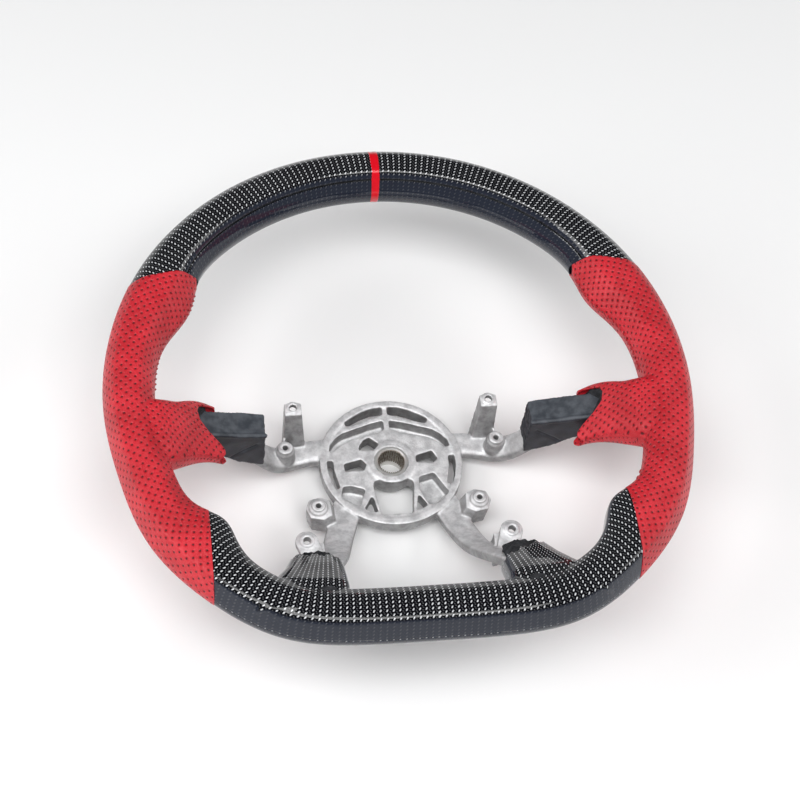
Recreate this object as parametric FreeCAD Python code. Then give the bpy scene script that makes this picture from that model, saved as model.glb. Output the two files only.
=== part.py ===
import FreeCAD, Part
import math
import os

# A car steering wheel stripped to its core: a die-cast hub and four spokes on a splined steel
# bush, a flat-bottomed rim with carbon shells above and below, and leather grips at the sides.
# Millimetres. +Z runs along the spline to the driver, +Y to 12 o'clock, +X to the right.
# z = 0 is the rear end of the bush, which seats on the steering column.

Vec = FreeCAD.Vector

# ---- rim ----
RIM_PLANE = 101.0            # height of the rim's centreline
# distance of the rim's centreline from the spline axis, every 15 degrees from 12 to 6 o'clock
RIM_RADII = (177.5, 177.4, 176.8, 175.6, 174.2, 172.8, 171.4, 170.6, 173.5, 171.8, 168.6, 158.0, 153.0)
RADIUS_STEP = 15.0
RIM_HALF_WIDTH = 16.4        # section, across the rim plane
# the rim section is a rounded polygon: each flat's direction, in degrees from outward towards the
# driver, and its distance from the centreline
UPPER_FLATS = ((5, 16.9), (50, 17.0), (90, 15.9), (150, 14.6), (190, 16.2), (232, 16.8), (270, 16.6), (318, 17.2))
LOWER_FLATS = ((25, 13.9), (84, 14.9), (130, 16.4), (180, 15.8), (230, 16.4), (270, 16.4), (322, 16.2), (355, 15.9))
EDGE_TIGHTNESS = 14.0        # higher makes the edges between the flats sharper
FLATS_CHANGE = (40.0, -25.0)  # clock angles over which the upper section turns into the lower one
THUMB_SWELL = 9.5            # extra inner width of the upper thumb rest
THUMB_ANGLE = 28.0
THUMB_REACH = 9.0
HEEL_SWELL = 12.0            # extra inner width of the lower thumb rest
HEEL_ANGLE = -36.5
HEEL_REACH = 7.5
SECTION_POINTS = 28
SKIN = 1.5                   # carbon shell and leather thickness
CORE_RADIUS = 6.0            # steel tube inside the rim
CORE_WALL = 2.0

# ---- where the coverings meet ----
UPPER_JOINT_Y = 94.2         # leather to upper carbon, at UPPER_JOINT_X
UPPER_JOINT_X = 128.0
UPPER_JOINT_FALL = 0.18
LOWER_JOINT_X = 128.0        # leather to lower carbon
LOWER_JOINT_Y = -60.0
BAND_HALF_WIDTH = 3.3
BAND_DEPTH = 0.6
THREAD_RADIUS = 0.5

# ---- hub ----
FACE_Z = 20.0                # front face of the hub ring
RING_RADIUS = 48.0
RING_INNER = 43.2
RING_DEPTH = 9.0
WEB_FRONT = 19.2
WEB_BACK = 8.5
POCKET_FLOOR = 10.2
BOSS_RADIUS = 16.0
BOSS_BACK = 3.0
BUSH_RADIUS = 11.2
BUSH_FRONT = 20.4
SPLINE_TEETH = 36
SPLINE_TIP = 8.2
SPLINE_ROOT = 8.95
PILOT_RADIUS = 9.2
PILOT_LENGTH = 6.0
SPLINE_FRONT = 19.2

# ---- fixing points: x, y and top height of the right-hand one of each pair ----
TALL_POST = (65.4, 25.7, 52.1)
LOW_BOSS = (70.9, 7.9, 31.4)
INNER_BOSS = (53.2, -37.3, 31.7)
OUTER_BOSS = (65.4, -74.7, 55.1)
THROUGH_HOLE = 2.4
SCREW_HOLE = 1.8
SCREW_DEPTH = 9.0

# upper arm, right side: x, centre y, centre z, half width, half thickness
UPPER_ARM = (
    (40.0, 12.5, 16.0, 9.0, 4.5), (50.0, 12.0, 15.4, 8.8, 4.5), (60.0, 10.8, 14.2, 8.5, 4.6),
    (68.0, 8.6, 14.4, 8.4, 4.9), (76.0, 5.6, 19.0, 8.3, 5.6), (86.0, 2.4, 31.0, 8.0, 6.6),
    (100.0, 0.8, 48.0, 6.8, 6.6), (120.0, -4.2, 70.5, 6.2, 6.4), (142.0, -12.0, 90.0, 8.0, 7.0),
    (156.0, -13.4, 97.5, 9.4, 8.0), (171.0, -14.0, 101.0, 11.0, 9.0))
# lower arm, right side: y, centre x, centre z, half width, half thickness
LOWER_ARM = (
    (-27.0, 31.0, 14.0, 10.5, 4.5), (-40.0, 35.5, 14.5, 10.2, 4.6), (-56.0, 40.8, 19.5, 9.8, 5.0),
    (-74.0, 45.6, 32.5, 9.4, 6.0), (-92.0, 52.0, 53.5, 9.0, 6.6), (-108.0, 60.0, 73.0, 8.6, 6.8),
    (-126.0, 66.0, 90.0, 8.6, 7.0), (-152.0, 70.0, 101.0, 11.0, 9.0))
# leather spoke sleeve, right side: x, centre y, centre z, half width, half depth, tilt
SLEEVE = (
    (113.0, -8.0, 66.5, 18.2, 13.0, 0.26), (130.0, -12.2, 81.5, 18.6, 14.6, 0.20),
    (150.0, -18.0, 97.5, 21.5, 15.6, 0.10), (168.0, -20.5, 101.5, 25.0, 14.6, 0.0))
# moulded spoke block, right side: x, low y, high y, low z, high z
BLOCK = (
    (86.5, -6.5, 10.6, 34.0, 70.0), (104.0, -8.0, 10.4, 43.0, 74.0), (126.0, -13.0, 4.5, 67.0, 86.0))
# carbon stub over the lower arm, right side: y, centre x, centre z, half width, half depth
STUB = (
    (-98.0, 65.0, 71.0, 13.5, 12.5), (-112.0, 67.0, 82.0, 16.5, 14.0), (-128.0, 69.0, 94.0, 19.5, 15.5),
    (-150.0, 71.0, 101.0, 23.0, 15.5))
STUB_FOAM_OUT = 2.0          # how far the foam stands out of the cut end of the carbon stub


def closed_curve(points):
    curve = Part.BSplineCurve()
    curve.interpolate(Points=points, PeriodicFlag=True)
    return curve


def swell(angle, centre, reach):
    return math.exp(-((angle - centre) / reach) ** 2)


def rim_centreline():
    last = len(RIM_RADII) - 1
    right = []
    for step, radius in enumerate(RIM_RADII):
        angle = math.radians(90.0 - step * RADIUS_STEP)
        right.append(Vec(radius * math.cos(angle), radius * math.sin(angle), RIM_PLANE))
    left = [Vec(-p.x, p.y, p.z) for p in right[last - 1:0:-1]]
    return closed_curve(right + left)


CENTRELINE = rim_centreline()


def rim_stations(first, last, step=7.5):
    """Centre, outward normal and clock angle at even angles on the right side."""
    stations = []
    count = int(round(abs(last - first) / step))
    for index in range(count + 1):
        angle = first + (last - first) * index / count
        ray = Part.LineSegment(Vec(0, 0, RIM_PLANE), ray_end(angle))
        hits = CENTRELINE.intersect(ray) if abs(angle) < 89.9 else []
        if hits:
            centre = Vec(hits[0].X, hits[0].Y, RIM_PLANE)
        else:
            centre = Vec(0, RIM_RADII[0] if angle > 0 else -RIM_RADII[-1], RIM_PLANE)
        tangent = CENTRELINE.tangent(CENTRELINE.parameter(centre))[0]
        outward = tangent.cross(Vec(0, 0, 1))
        if outward.dot(centre - Vec(0, 0, RIM_PLANE)) < 0:
            outward = outward * -1
        if abs(angle) > 89.9:
            outward = Vec(0, 1 if angle > 0 else -1, 0)
        stations.append((centre, outward, angle))
    return stations


def ray_end(angle):
    reach = 260.0
    return Vec(reach * math.cos(math.radians(angle)), reach * math.sin(math.radians(angle)), RIM_PLANE)


def inner_half_width(angle):
    thumb = THUMB_SWELL * swell(angle, THUMB_ANGLE, THUMB_REACH)
    heel = HEEL_SWELL * swell(angle, HEEL_ANGLE, HEEL_REACH)
    return RIM_HALF_WIDTH + thumb + heel


def loft(wires):
    return Part.makeLoft(wires, True, False)


def flats_radius(flats, turn):
    """Distance to a rounded polygon's surface in one direction."""
    total = 0.0
    for direction, distance in flats:
        facing = math.cos(turn - math.radians(direction))
        if facing > 0:
            total += (facing / distance) ** EDGE_TIGHTNESS
    return total ** (-1.0 / EDGE_TIGHTNESS)


def section_radius(angle, turn):
    start, end = FLATS_CHANGE
    share = min(1.0, max(0.0, (angle - start) / (end - start)))
    share = share * share * (3 - 2 * share)
    return (1 - share) * flats_radius(UPPER_FLATS, turn) + share * flats_radius(LOWER_FLATS, turn)


def rim_section(station, inset):
    centre, outward, angle = station
    widening = inner_half_width(angle) / RIM_HALF_WIDTH
    points = []
    for index in range(SECTION_POINTS):
        turn = 2 * math.pi * index / SECTION_POINTS
        radius = section_radius(angle, turn) - inset
        across = radius * math.cos(turn) * (1.0 if math.cos(turn) > 0 else widening)
        points.append(centre + outward * across + Vec(0, 0, radius * math.sin(turn)))
    return Part.Wire([closed_curve(points).toShape()])


def round_section(station, radius):
    centre, outward, _ = station
    circle = Part.Circle(centre, outward.cross(Vec(0, 0, 1)), radius)
    return Part.Wire([circle.toShape()])


def rim_body(first, last, inset):
    return loft([rim_section(s, inset) for s in rim_stations(first, last)])


def largest(shape):
    return max(shape.Solids, key=lambda solid: solid.Volume)


def mirrored(shape):
    return shape.mirror(Vec(0, 0, 0), Vec(1, 0, 0))


def both_sides(shape):
    return shape.fuse(mirrored(shape))


def rim_core_solid(radius):
    return both_sides(loft([round_section(s, radius) for s in rim_stations(90, -90)]))


def prism(outline, low, high, plane="XY"):
    """A straight prism on a closed outline, along Z, or along X when the outline is in YZ."""
    if plane == "XY":
        points = [Vec(a, b, low) for a, b in outline]
        way = Vec(0, 0, high - low)
    else:
        points = [Vec(low, a, b) for a, b in outline]
        way = Vec(high - low, 0, 0)
    face = Part.Face(Part.makePolygon(points + points[:1]))
    return face.extrude(way)


def rounded_prism(outline, low, high, radius):
    """A prism along Z with its standing edges rounded."""
    solid = prism(outline, low, high)
    standing = [e for e in solid.Edges if abs(abs(e.tangentAt(e.FirstParameter).z) - 1) < 1e-6]
    return solid.makeFillet(radius, standing)


def tube(radius, low, high, x=0.0, y=0.0):
    return Part.makeCylinder(radius, high - low, Vec(x, y, low))


def rectangle(corners):
    return Part.makePolygon(list(corners) + [corners[0]])


def rounded_bar(stations, along):
    """A bar through rounded sections that stand across X or across Y."""
    wires = []
    for place, side, height, half_width, half_depth in stations:
        points = []
        for index in range(SECTION_POINTS):
            turn = 2 * math.pi * index / SECTION_POINTS
            a = side + half_width * squared(math.cos(turn))
            b = height + half_depth * squared(math.sin(turn))
            points.append(Vec(place, a, b) if along == "X" else Vec(a, place, b))
        wires.append(Part.Wire([closed_curve(points).toShape()]))
    return loft(wires)


def squared(value):
    """Squares off a round section a little."""
    return math.copysign(abs(value) ** 0.6, value)


# ---- regions that part the coverings ----
FAR = 300.0


def upper_region():
    low = UPPER_JOINT_Y - UPPER_JOINT_FALL * (FAR - UPPER_JOINT_X)
    outline = [(-FAR, low), (-UPPER_JOINT_X, UPPER_JOINT_Y), (UPPER_JOINT_X, UPPER_JOINT_Y),
               (FAR, low), (FAR, FAR), (-FAR, FAR)]
    return prism(outline, 0, 200)


def lower_region():
    outline = [(-LOWER_JOINT_X, -FAR), (LOWER_JOINT_X, -FAR),
               (LOWER_JOINT_X, LOWER_JOINT_Y), (-LOWER_JOINT_X, LOWER_JOINT_Y)]
    return prism(outline, 0, 200)


def upper_front_region():
    """Everything in front of the upper shells' parting line, which runs round the inner wall."""
    reach = 260.0
    points = [Vec(110, 0, 122), Vec(166.8, 0, 111.2), Vec(194.0, 0, 98.4), Vec(reach, 0, 72),
              Vec(reach, 0, 180), Vec(110, 0, 180)]
    face = Part.Face(Part.makePolygon(points + points[:1]))
    return face.revolve(Vec(0, 0, 0), Vec(0, 0, 1), 360)


def lower_front_region():
    outline = [(-FAR, RIM_PLANE), (-134, RIM_PLANE), (-98, 71), (-40, 23), (-40, 250), (-FAR, 250)]
    return prism(outline, -FAR, FAR, "YZ")


# ---- hub casting ----
def hub_windows():
    """Through windows of the web, and the blind pockets beside the ribs, as two lists."""
    through = []
    blind = []
    crescent = [(1.6, 43.0), (9.3, 42.2), (16.8, 39.4), (24.2, 35.2), (28.4, 32.2), (27.6, 29.7),
                (23.0, 30.2), (15.5, 33.0), (8.4, 35.4), (1.6, 37.6)]
    under_rib = [(1.9, 32.8), (11.5, 30.5), (23.0, 26.6), (30.7, 24.0), (35.7, 20.4), (39.6, 15.2),
                 (41.2, 10.4), (38.2, 9.8), (33.0, 14.6), (26.0, 18.6), (15.0, 21.4), (6.0, 23.6),
                 (1.9, 25.8)]
    side_slot = [(38.9, 3.2), (43.0, 3.0), (43.0, -5.4), (41.4, -13.2), (38.8, -19.2), (36.0, -17.6),
                 (37.8, -10.0), (38.9, -3.8)]
    for sign in (1, -1):
        through.append(prism([(sign * x, y) for x, y in crescent], 0, 40))
        through.append(prism([(sign * x, y) for x, y in side_slot], 0, 40))
        blind.append(prism([(sign * x, y) for x, y in under_rib], POCKET_FLOOR, 40))
    upper_left = [(-12.9, 20.0), (-6.8, 14.4), (-11.0, 9.2), (-20.6, 10.2), (-20.2, 13.4), (-17.0, 18.0)]
    left_slot = [(-32.0, 0.2), (-20.0, 3.2), (-17.0, -0.8), (-18.6, -5.2), (-31.4, -5.6)]
    right_window = [(17.2, 4.2), (28.4, 7.4), (31.6, 0.8), (28.0, -2.0), (16.8, -0.8)]
    keyhole = [(-14.0, -18.0), (-13.0, -14.2), (-9.6, -13.6), (-5.0, -15.9), (0.0, -16.4), (5.0, -15.9),
               (9.6, -13.6), (12.6, -15.0), (13.2, -18.0), (10.4, -39.4), (-10.6, -39.4)]
    left_triangle = [(-15.4, -24.4), (-12.8, -38.0), (-21.6, -34.6)]
    right_triangle = [(15.2, -24.8), (20.8, -34.4), (12.8, -38.0)]
    for outline in (upper_left, left_slot, right_window, keyhole, left_triangle, right_triangle):
        through.append(rounded_prism(outline, 0, 40, 0.9))
    lower_left = [(-34.4, -17.2), (-29.0, -17.0), (-19.6, -20.0), (-24.4, -32.8), (-36.0, -25.6)]
    lower_right = [(17.4, -12.4), (27.6, -9.8), (36.0, -25.2), (30.0, -32.2), (21.6, -33.8), (16.6, -21.0)]
    for outline in (lower_left, lower_right):
        blind.append(rounded_prism(outline, POCKET_FLOOR, 40, 1.6))
    return through, blind


def tall_post():
    """A post off the far edge of an upper arm, with a screw tab on top and an open back."""
    x, y, top = TALL_POST
    base_y = 20.0
    foot = rectangle([Vec(x - 9.4, base_y - 5.5, 13), Vec(x + 6.0, base_y - 5.5, 13),
                      Vec(x + 6.0, base_y + 3.0, 13), Vec(x - 9.4, base_y + 3.0, 13)])
    head = rectangle([Vec(x - 5.6, y - 5.2, top - 1.2), Vec(x + 5.6, y - 5.2, top - 1.2),
                      Vec(x + 5.6, y + 4.0, top - 1.2), Vec(x - 5.6, y + 4.0, top - 1.2)])
    post = Part.makeLoft([foot, head], True, True)
    post = post.fuse(tube(5.6, top - 9.0, top - 1.2, x, y))
    post = post.fuse(tube(4.0, top - 1.5, top, x, y))
    back = Part.makeBox(7.0, 14.0, top - 4.0 - 24.0, Vec(x - 3.5, y - 2.6, 24.0))
    return post.cut(back).cut(tube(THROUGH_HOLE, 10, top + 1, x, y))


def low_boss():
    """A flanged round boss on an upper arm, with a casting fin on its far side."""
    x, y, top = LOW_BOSS
    cone = Part.makeCone(7.6, 6.3, top - 3.4 - 13.0, Vec(x, y, 13.0))
    flange = Part.makeCone(6.3, 5.4, 1.4, Vec(x, y, top - 3.4))
    collar = tube(5.0, top - 2.4, top, x, y)
    fin = Part.makeBox(1.6, 6.0, 11.0, Vec(x - 0.8, y + 3.4, 17.0))
    return cone.fuse([flange, collar, fin])


def inner_boss():
    """A stepped boss on a flanged block beside a lower arm."""
    x, y, top = INNER_BOSS
    high = [(-7.8, 6.0), (-2.0, 8.4), (5.4, 6.8), (8.2, 0.0), (5.4, -7.0), (-3.0, -8.6), (-8.8, -5.0)]
    low = [(-14.0, 6.0), (-4.0, 8.0), (4.0, 6.4), (6.6, 0.0), (4.0, -6.8), (-6.0, -9.0), (-15.0, -9.0)]
    block = Part.makeLoft([rectangle([Vec(x + a, y + b, 11.0) for a, b in low]),
                           rectangle([Vec(x + a, y + b, top - 4.0) for a, b in high])], True, True)
    collar = Part.makeCone(6.6, 5.8, 2.2, Vec(x, y, top - 4.0))
    nose = tube(4.3, top - 2.0, top, x, y)
    return block.fuse([collar, nose])


def outer_boss():
    """A round lug on a neck beside the outer end of a lower arm, stiffened by a web below."""
    x, y, top = OUTER_BOSS
    lug = tube(7.3, top - 6.4, top - 1.6, x, y)
    neck = [(-6.6, 2.5), (-10.0, -8.0), (-12.0, -18.0), (-2.0, -18.5), (4.6, -9.0), (6.6, -2.5)]
    web = [(-11.0, 1.0), (-5.0, 0.5), (-3.0, -13.0), (-12.0, -15.0)]
    neck = prism([(x + a, y + b) for a, b in neck], top - 6.8, top - 2.0)
    web = prism([(x + a, y + b) for a, b in web], top - 23.0, top - 6.0)
    return lug.fuse([neck, web, tube(4.6, top - 2.0, top, x, y)])


def right_spokes():
    """The right-hand arms and fixing points, before the screw holes."""
    upper = rounded_bar(UPPER_ARM, "X")
    lower = rounded_bar(LOWER_ARM, "Y")
    return upper.fuse([lower, tall_post(), low_boss(), inner_boss(), outer_boss()])


def screw_holes():
    """Blind and through holes of the right-hand fixing points."""
    holes = []
    for x, y, top in (LOW_BOSS, INNER_BOSS):
        holes.append(tube(SCREW_HOLE, top - SCREW_DEPTH, top + 1, x, y))
    x, y, top = OUTER_BOSS
    holes.append(tube(THROUGH_HOLE, top - 30, top + 1, x, y))
    return holes


def hub_casting(core):
    right = right_spokes()
    ring = tube(RING_RADIUS, FACE_Z - RING_DEPTH, FACE_Z)
    web = tube(RING_RADIUS - 2.0, WEB_BACK, WEB_FRONT)
    recess = tube(RING_INNER, WEB_FRONT, FACE_Z + 1)
    land = tube(BOSS_RADIUS, WEB_BACK, FACE_Z)
    boss = Part.makeCone(BOSS_RADIUS - 1.5, BOSS_RADIUS, WEB_BACK - BOSS_BACK, Vec(0, 0, BOSS_BACK))
    through, blind = hub_windows()
    disc = ring.fuse(web).cut(recess).fuse([land, boss])
    tower_cut = tube(RING_INNER, FACE_Z, 60)
    spokes = right.fuse(mirrored(right)).cut(tower_cut).cut(tube(RING_INNER - 1.0, 0, 60))
    disc = disc.cut(through + blind)
    holes = screw_holes()
    cutters = holes + [mirrored(h) for h in holes] + [tube(BUSH_RADIUS, -5, 40), core]
    return disc.fuse(spokes).cut(cutters)


def spline_bush():
    """Steel bush: an internal spline, with a plain pilot at the column end and a bevelled mouth."""
    body = tube(BUSH_RADIUS, 0, BUSH_FRONT)
    points = []
    quarter = math.pi / (2 * SPLINE_TEETH)
    for tooth in range(SPLINE_TEETH):
        middle = 2 * math.pi * tooth / SPLINE_TEETH
        for turn, radius in ((-1.2, SPLINE_TIP), (-0.6, SPLINE_ROOT), (0.6, SPLINE_ROOT), (1.2, SPLINE_TIP)):
            angle = middle + turn * quarter
            points.append((radius * math.cos(angle), radius * math.sin(angle)))
    spline = prism(points, -1, BUSH_FRONT + 1)
    pilot = tube(PILOT_RADIUS, -1, PILOT_LENGTH)
    mouth = Part.makeCone(PILOT_RADIUS - 0.5, PILOT_RADIUS + 0.9, BUSH_FRONT - SPLINE_FRONT + 0.2,
                          Vec(0, 0, SPLINE_FRONT))
    return body.cut([spline, pilot, mouth])


# ---- spokes and grips ----
def spoke_block():
    wires = []
    for x, low_y, high_y, low_z, high_z in BLOCK:
        wires.append(rectangle([Vec(x, low_y, low_z), Vec(x, high_y, low_z),
                                Vec(x, high_y, high_z), Vec(x, low_y, high_z)]))
    return Part.makeLoft(wires, True, True)


def sleeve(inset):
    wires = []
    for x, side, height, half_width, half_depth, tilt in SLEEVE:
        points = []
        for index in range(SECTION_POINTS):
            turn = 2 * math.pi * index / SECTION_POINTS
            a = (half_width - inset) * squared(math.cos(turn))
            b = (half_depth - inset) * squared(math.sin(turn)) + tilt * a
            points.append(Vec(x, side + a, height + b))
        wires.append(Part.Wire([closed_curve(points).toShape()]))
    return loft(wires)


def stub(inset, reach=0.0):
    stations = []
    for index, (y, x, z, half_width, half_depth) in enumerate(STUB):
        end = reach if index == 0 else 0.0
        stations.append((y + end, x - end * 0.2, z - end * 0.8, half_width - inset, half_depth - inset))
    return rounded_bar(stations, "Y")


def seam_thread():
    """The lacing thread along the inner edge of a grip, above and below the spoke."""
    runs = []
    for first, last in ((33.0, 4.5), (-24.0, -31.5)):
        wires = []
        for centre, outward, angle in rim_stations(first, last, 2.5):
            widening = inner_half_width(angle) / RIM_HALF_WIDTH
            across = section_radius(angle, math.pi) * widening + THREAD_RADIUS + 0.2
            place = centre - outward * across
            circle = Part.Circle(place, outward.cross(Vec(0, 0, 1)), THREAD_RADIUS)
            wires.append(Part.Wire([circle.toShape()]))
        runs.append(loft(wires))
    return Part.makeCompound(runs)


def build():
    parts = {}
    core = rim_core_solid(CORE_RADIUS)
    casting = hub_casting(core)
    parts["hub_casting"] = casting
    parts["spline_bush"] = spline_bush()
    parts["rim_core"] = core.cut(rim_core_solid(CORE_RADIUS - CORE_WALL))

    upper = upper_region()
    lower = lower_region()
    upper_outer = both_sides(rim_body(90, 15, 0)).common(upper)
    upper_inner = both_sides(rim_body(90, 15, SKIN)).common(upper)
    band_slab = Part.makeBox(2 * BAND_HALF_WIDTH, 400, 200, Vec(-BAND_HALF_WIDTH, 0, 0))
    band = upper_outer.cut(both_sides(rim_body(90, 60, BAND_DEPTH))).common(band_slab)
    parts["centre_band"] = band
    shell = upper_outer.cut(upper_inner).cut(band)
    front = upper_front_region()
    parts["carbon_upper_front"] = shell.common(front)
    parts["carbon_upper_rear"] = shell.cut(front)
    parts["foam_upper"] = upper_inner.cut(core)

    lower_outer = both_sides(rim_body(-90, -15, 0).common(lower).fuse(stub(0)))
    lower_inner = both_sides(rim_body(-90, -15, SKIN).common(lower).fuse(stub(SKIN, STUB_FOAM_OUT)))
    shell = lower_outer.cut(lower_inner).cut(casting)
    front = lower_front_region()
    parts["carbon_lower_front"] = shell.common(front)
    parts["carbon_lower_rear"] = shell.cut(front)
    parts["foam_lower"] = lower_inner.cut([core, casting])

    side = rim_body(52.5, -60, 0).cut([upper, lower])
    side_inner = rim_body(52.5, -60, SKIN).cut([upper, lower])
    block = spoke_block()
    grip_foam = side_inner.fuse(sleeve(SKIN)).cut(block)
    leather = largest(side.fuse(sleeve(0)).cut(side_inner.fuse(sleeve(SKIN))).cut(block))
    thread = seam_thread()
    for name, sign in (("right", 1), ("left", -1)):
        place = Part.Shape.copy if sign > 0 else mirrored
        parts["spoke_block_" + name] = place(block).cut([casting, core])
        parts["grip_foam_" + name] = largest(place(grip_foam).cut([casting, core]))
        parts["leather_grip_" + name] = place(leather)
        parts["seam_thread_" + name] = place(thread)
    return parts


def main():
    os.makedirs("parts", exist_ok=True)
    for name, shape in build().items():
        shape.exportStep("parts/" + name + ".step")
        print(name, "valid", shape.isValid(), "solids", len(shape.Solids), "volume", round(shape.Volume))


main()
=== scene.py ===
import math
import bmesh
import bpy
import numpy as np
from mathutils import Matrix, Vector, noise
from mathutils.bvhtree import BVHTree


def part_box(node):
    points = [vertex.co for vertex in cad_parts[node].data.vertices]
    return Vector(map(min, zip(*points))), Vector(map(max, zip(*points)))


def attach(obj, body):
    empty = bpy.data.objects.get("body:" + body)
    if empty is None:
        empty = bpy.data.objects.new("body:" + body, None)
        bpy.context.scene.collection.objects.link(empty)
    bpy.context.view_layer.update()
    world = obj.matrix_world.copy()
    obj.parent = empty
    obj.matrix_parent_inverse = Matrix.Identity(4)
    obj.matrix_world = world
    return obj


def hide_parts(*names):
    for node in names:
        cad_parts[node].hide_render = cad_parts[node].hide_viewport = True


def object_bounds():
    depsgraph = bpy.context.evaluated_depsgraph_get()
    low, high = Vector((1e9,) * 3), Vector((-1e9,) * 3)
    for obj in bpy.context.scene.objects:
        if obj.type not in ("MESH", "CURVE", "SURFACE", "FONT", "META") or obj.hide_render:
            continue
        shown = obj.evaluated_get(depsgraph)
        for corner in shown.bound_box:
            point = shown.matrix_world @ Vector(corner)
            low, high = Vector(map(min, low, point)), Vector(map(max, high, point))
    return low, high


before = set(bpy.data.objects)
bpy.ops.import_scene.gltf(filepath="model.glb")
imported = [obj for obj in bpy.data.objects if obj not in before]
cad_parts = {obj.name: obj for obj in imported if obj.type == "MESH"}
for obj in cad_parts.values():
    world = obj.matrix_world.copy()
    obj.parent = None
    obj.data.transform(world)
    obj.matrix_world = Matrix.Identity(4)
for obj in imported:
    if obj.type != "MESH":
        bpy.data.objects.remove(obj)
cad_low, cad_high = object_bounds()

# ---- splined bush ----
# A machined steel bush with an internal spline, cast into the middle of the hub. It stays the CAD
# part, in oiled brown-grey steel with a clean, pale mouth.
MM = 0.001
SPLINE_EDGE = (8.7 * MM, 9.3 * MM)      # from the dark bore to the pale mouth


class Value:
    """A shader socket. Arithmetic on it adds Math nodes and gives another Value."""

    def __init__(self, nodes, socket):
        self.nodes, self.socket = nodes, socket

    def math(self, operation, *others):
        return self.nodes.node("Math", {"operation": operation}, dict(enumerate((self, *others))))

    def __add__(self, other): return self.math("ADD", other)
    def __radd__(self, other): return self.math("ADD", other)
    def __sub__(self, other): return self.math("SUBTRACT", other)
    def __rsub__(self, other): return (self * -1).math("ADD", other)
    def __mul__(self, other): return self.math("MULTIPLY", other)
    def __rmul__(self, other): return self.math("MULTIPLY", other)
    def __truediv__(self, other): return self.math("DIVIDE", other)
    def __lt__(self, other): return self.math("LESS_THAN", other)

    def ramp(self, start, end):
        """0 below start and 1 above end, smooth between."""
        settings = {"interpolation_type": "SMOOTHSTEP"}
        return self.nodes.node("MapRange", settings, {"Value": self, "From Min": start, "From Max": end})


class Nodes:
    """A node tree, and the one method that adds to it."""

    def __init__(self, tree):
        self.tree = tree

    def feed(self, node, sockets):
        for key, value in sockets.items():
            if isinstance(value, Value):
                self.tree.links.new(value.socket, node.inputs[key])
            else:
                node.inputs[key].default_value = value

    def node(self, kind, settings, sockets, out=0):
        made = self.tree.nodes.new("ShaderNode" + kind)
        for key, value in settings.items():
            setattr(made, key, value)
        self.feed(made, sockets)
        return Value(self, made.outputs[out])

    def part_of(self, vector, axis):
        """One axis, 0 to 2, of a vector socket."""
        return self.node("SeparateXYZ", {}, {"Vector": vector}, axis)


class Finish(Nodes):
    """A material under way: one Principled shader and what feeds it."""

    def __init__(self, name, **constants):
        self.material = bpy.data.materials.new(name)
        self.material.use_nodes = True
        super().__init__(self.material.node_tree)
        self.shader = self.tree.nodes["Principled BSDF"]
        self.surface(**constants)

    def surface(self, **sockets):
        self.feed(self.shader, {key.replace("_", " "): value for key, value in sockets.items()})
        return self.material

    def place(self):
        return self.node("TexCoord", {}, {}, "Object")

    def facing_up(self):
        """How far the surface faces the driver, from -1 to 1."""
        return self.part_of(self.node("TexCoord", {}, {}, "Normal"), 2)

    def grain(self, size, detail=3.0, roughness=0.55):
        """Cloudy noise from 0 to 1, with features of about that size in metres."""
        return self.node("TexNoise", {}, {"Vector": self.place(), "Scale": 1 / size, "Detail": detail,
                                          "Roughness": roughness})

    def mix(self, share, first, second):
        return self.node("Mix", {"data_type": "RGBA"}, {0: share, 6: first, 7: second}, 2)

    def bump(self, height, depth):
        return self.node("Bump", {}, {"Height": height, "Distance": depth, "Strength": 1.0})


def rgb(red, green, blue):
    return (red, green, blue, 1.0)


def coat(thing, material):
    """Gives a piece its one finish."""
    thing.data.materials.clear()
    thing.data.materials.append(material)


bush = Finish("oiled_bush_steel", Metallic=0.75)
stain = bush.grain(2.5 * MM, 4.0)
bore = bush.mix(stain.ramp(0.35, 0.7), rgb(0.20, 0.165, 0.13), rgb(0.46, 0.42, 0.36))
from_axis = bush.node("VectorMath", {"operation": "LENGTH"}, {
    0: bush.node("VectorMath", {"operation": "MULTIPLY"}, {0: bush.place(), 1: (1, 1, 0)})}, "Value")
bush.surface(
    Base_Color=bush.mix(from_axis.ramp(*SPLINE_EDGE), bore, rgb(0.72, 0.71, 0.69)),
    Roughness=0.34 + 0.2 * bush.grain(1.2 * MM),
    Normal=bush.bump(bush.grain(0.5 * MM), 0.05 * MM))
coat(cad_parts["spline_bush"], bush.material)

# ---- hub casting ----
# The hub, its ring and web, the four arms and the screw posts are one aluminium die casting, lightly
# blasted. Every edge is rounded by the die, so the CAD mesh is remeshed finely and relaxed.
CAST_GRAIN = 0.7 * MM
CAST_RELAX = 3
FACES_UP = (0.25, 0.85)                 # from a wall in painted shade to an upward face painted as lit from above


def modified(thing, kind, **settings):
    """Adds a modifier and applies it at once."""
    made = thing.modifiers.new(kind.lower(), kind)
    for key, value in settings.items():
        setattr(made, key, value)
    bpy.context.view_layer.update()
    shape = bpy.data.meshes.new_from_object(thing.evaluated_get(bpy.context.evaluated_depsgraph_get()))
    thing.modifiers.remove(made)
    thing.data = shape
    return thing


def put(name, data):
    """A new object in the scene."""
    thing = bpy.data.objects.new(name, data)
    bpy.context.scene.collection.objects.link(thing)
    return thing


def softened(thing, grain, relax):
    """Remeshes a piece evenly and relaxes its edges."""
    modified(thing, "REMESH", mode="VOXEL", voxel_size=grain, adaptivity=0.0)
    modified(thing, "SMOOTH", factor=0.5, iterations=relax)
    thing.data.shade_smooth()
    return thing


def piece_of(mesh, name, material):
    """A visible piece on the steering wheel's one body."""
    thing = put(name, mesh)
    coat(thing, material)
    thing.data.shade_smooth()
    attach(thing, "root")
    return thing


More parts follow.
